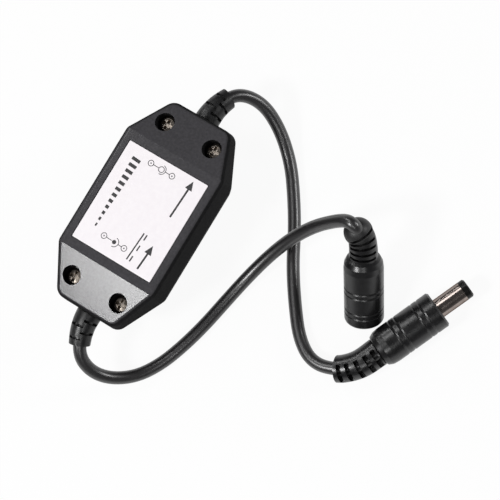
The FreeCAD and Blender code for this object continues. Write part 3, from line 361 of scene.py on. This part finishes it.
def make_cord(name, route):
    """A smooth cord along a route in millimetres, in place of the CAD tube of the same name."""
    curve = bpy.data.curves.new(f"{name}_line", "CURVE")
    curve.dimensions = "3D"
    curve.bevel_depth = CORD_DIAMETER / 2 * MM
    curve.bevel_resolution = CORD_ROUND_STEPS
    curve.use_fill_caps = True
    spline = curve.splines.new("NURBS")
    spline.points.add(len(route) - 1)
    for point, spot in zip(spline.points, route):
        point.co = (*(Vector(spot) * MM), 1)
    spline.order_u = 3
    spline.use_endpoint_u = True
    spline.resolution_u = CORD_LENGTH_STEPS
    cord = add_object(f"{name}_jacket", curve)
    cord.data.materials.append(cord_jacket.material)
    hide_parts(name)
    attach(cord, "housing")


make_cord("output_cord", OUTPUT_ROUTE)
make_cord("input_cord", INPUT_ROUTE)


# Label print: signs in place of the words

def line_frame(line):
    """Start, direction, sideways direction and length of a plan line."""
    start, end = (Vector(spot) for spot in line)
    along = (end - start).normalized()
    return start, along, along.orthogonal(), (end - start).length


def strip(start, end, width):
    """A straight stroke as one outline."""
    side = (end - start).normalized().orthogonal() * width / 2
    return [start - side, end - side, end + side, start + side]


def turned(centre, radius, degrees):
    """The point of a circle at an angle."""
    angle = math.radians(degrees)
    return centre + Vector((math.cos(angle), math.sin(angle))) * radius


def disc(centre, radius):
    return [turned(centre, radius, 360 * step / ROUND_STEPS) for step in range(ROUND_STEPS)]


def arc(centre, radius, width, first=0, last=360):
    """A bent stroke as a row of outlines."""
    angles = [first + (last - first) * step / ROUND_STEPS for step in range(ROUND_STEPS + 1)]
    inner, outer = radius - width / 2, radius + width / 2
    return [[turned(centre, inner, start), turned(centre, outer, start), turned(centre, outer, end),
             turned(centre, inner, end)] for start, end in zip(angles, angles[1:])]


def rising_bars(line):
    """The sign for dimming: a row of bars that grow from its start to its end."""
    start, along, side, length = line_frame(line)
    bars = []
    for number in range(SCALE_BARS):
        share = number / (SCALE_BARS - 1)
        foot = start + along * share * length - side * HIGHEST_BAR / 2
        height = LOWEST_BAR + share * (HIGHEST_BAR - LOWEST_BAR)
        bars.append(strip(foot, foot + side * height, BAR_WIDTH))
    return bars


def arrow(line):
    start, along, side, length = line_frame(line)
    neck = start + along * (length - ARROW_HEAD_LENGTH)
    half = side * ARROW_HEAD_WIDTH / 2
    return [strip(start, neck, ARROW_WIDTH), [neck - half, start + along * length, neck + half]]


def direct_current(line):
    """The sign for direct current: a line over a row of dashes."""
    start, along, side, length = line_frame(line)
    upper = start + side * SUPPLY_GAP / 2
    lower = start - side * SUPPLY_GAP / 2
    step = length / (2 * SUPPLY_DASHES - 1)
    strokes = [strip(upper, upper + along * length, SUPPLY_WIDTH)]
    for number in range(SUPPLY_DASHES):
        dash = lower + along * 2 * number * step
        strokes.append(strip(dash, dash + along * step, SUPPLY_WIDTH))
    return strokes


def polarity(spots, filled):
    """The sign for a barrel plug's poles: its tip between the two poles, all joined."""
    first, middle, last = (Vector(spot) for spot in spots)
    shapes = arc(middle, SLEEVE_RADIUS, POLE_LINE, *SLEEVE_ANGLES)
    for pole, gap in ((first, POLE_RADIUS), (last, SLEEVE_RADIUS)):
        towards = (middle - pole).normalized()
        shapes += arc(pole, POLE_RADIUS, POLE_LINE)
        shapes.append(disc(pole, POLE_DOT))
        shapes.append(strip(pole + towards * POLE_RADIUS, middle - towards * gap, POLE_LINE))
    shapes += [disc(middle, TIP_DOT)] if filled else arc(middle, POLE_RADIUS, POLE_LINE)
    return shapes


def print_label():
    outlines = rising_bars(SCALE_LINE) + arrow(OUTPUT_ARROW) + arrow(INPUT_ARROW)
    outlines += direct_current(SUPPLY_LINE)
    outlines += polarity(OUTPUT_POLES, filled=False) + polarity(INPUT_POLES, filled=True)
    corners = []
    faces = []
    for outline in outlines:
        faces.append(range(len(corners), len(corners) + len(outline)))
        corners += [(spot.x * MM, spot.y * MM, INK_HEIGHT * MM) for spot in outline]
    mesh = bpy.data.meshes.new("label_print")
    mesh.from_pydata(corners, [], faces)
    mesh.materials.append(label_ink.material)
    ink = add_object("label_print", mesh)
    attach(ink, "housing")


print_label()


# Stage, light and camera

def combined(tree, operation, first, second):
    """The output of a math node, from an output and either a second output or a number."""
    node = tree.nodes.new("ShaderNodeMath")
    node.operation = operation
    tree.links.new(first, node.inputs[0])
    if isinstance(second, float):
        node.inputs[1].default_value = second
    else:
        tree.links.new(second, node.inputs[1])
    return node.outputs[0]


def floor_material():
    """White to the camera and in reflections, with some shaded paper in it that keeps the shadow."""
    material = bpy.data.materials.new("white_floor")
    material.use_nodes = True
    tree = material.node_tree
    tree.nodes.clear()
    rays = tree.nodes.new("ShaderNodeLightPath").outputs
    seen = combined(tree, "MAXIMUM", rays["Is Camera Ray"], rays["Is Glossy Ray"])
    seen_or_through = combined(tree, "MAXIMUM", seen, rays["Is Transmission Ray"])
    paper = tree.nodes.new("ShaderNodeBsdfDiffuse")
    paper.inputs["Color"].default_value = FLOOR_PAPER
    white = tree.nodes.new("ShaderNodeEmission")
    mix = tree.nodes.new("ShaderNodeMixShader")
    output = tree.nodes.new("ShaderNodeOutputMaterial")
    tree.links.new(combined(tree, "MULTIPLY", seen_or_through, FLOOR_WHITE), mix.inputs[0])
    tree.links.new(paper.outputs[0], mix.inputs[1])
    tree.links.new(white.outputs[0], mix.inputs[2])
    tree.links.new(mix.outputs[0], output.inputs[0])
    return material


def make_floor():
    corners = [(x * FLOOR_HALF, y * FLOOR_HALF, 0) for x, y in ((-1, -1), (1, -1), (1, 1), (-1, 1))]
    mesh = bpy.data.meshes.new("floor")
    mesh.from_pydata(corners, [], [(0, 1, 2, 3)])
    mesh.materials.append(floor_material())
    floor = add_object("floor", mesh)


def add_softbox(name, direction, distance, width, height, power):
    """A lamp that looks at the object from a direction."""
    lamp = bpy.data.lights.new(name, "AREA")
    lamp.shape = "RECTANGLE"
    lamp.size = width
    lamp.size_y = height
    lamp.energy = power
    item = add_object(name, lamp)
    item.location = Vector(direction).normalized() * distance
    item.rotation_euler = Vector(direction).to_track_quat("Z", "Y").to_euler()


def make_room():
    """A room that is lightest near the horizon and evenly dim above a band of some height."""
    world = bpy.data.worlds.new("studio")
    world.use_nodes = True
    tree = world.node_tree
    backdrop = tree.nodes["Background"]
    backdrop.inputs["Color"].default_value = ROOM_COLOUR
    direction = tree.nodes.new("ShaderNodeTexCoord")
    split = tree.nodes.new("ShaderNodeSeparateXYZ")
    fade = tree.nodes.new("ShaderNodeMapRange")
    for socket, setting in (
            ("From Max", HORIZON_BAND), ("To Min", HORIZON_LIGHT), ("To Max", OVERHEAD_LIGHT)):
        fade.inputs[socket].default_value = setting
    tree.links.new(direction.outputs["Generated"], split.inputs[0])
    tree.links.new(split.outputs["Z"], fade.inputs["Value"])
    tree.links.new(fade.outputs["Result"], backdrop.inputs["Strength"])
    scene.world = world


def make_camera():
    camera = bpy.data.cameras.new("camera")
    camera.sensor_fit = "HORIZONTAL"
    camera.sensor_width = CAMERA_SENSOR
    camera.lens = CAMERA_LENS
    item = add_object("camera", camera)
    item.location = CAMERA_PLACE
    item.rotation_euler = [math.radians(angle) for angle in CAMERA_TURN]
    scene.camera = item


make_floor()
for name, settings in LAMPS.items():
    add_softbox(name, **settings)
make_room()
make_camera()
scene.view_settings.view_transform = "Standard"
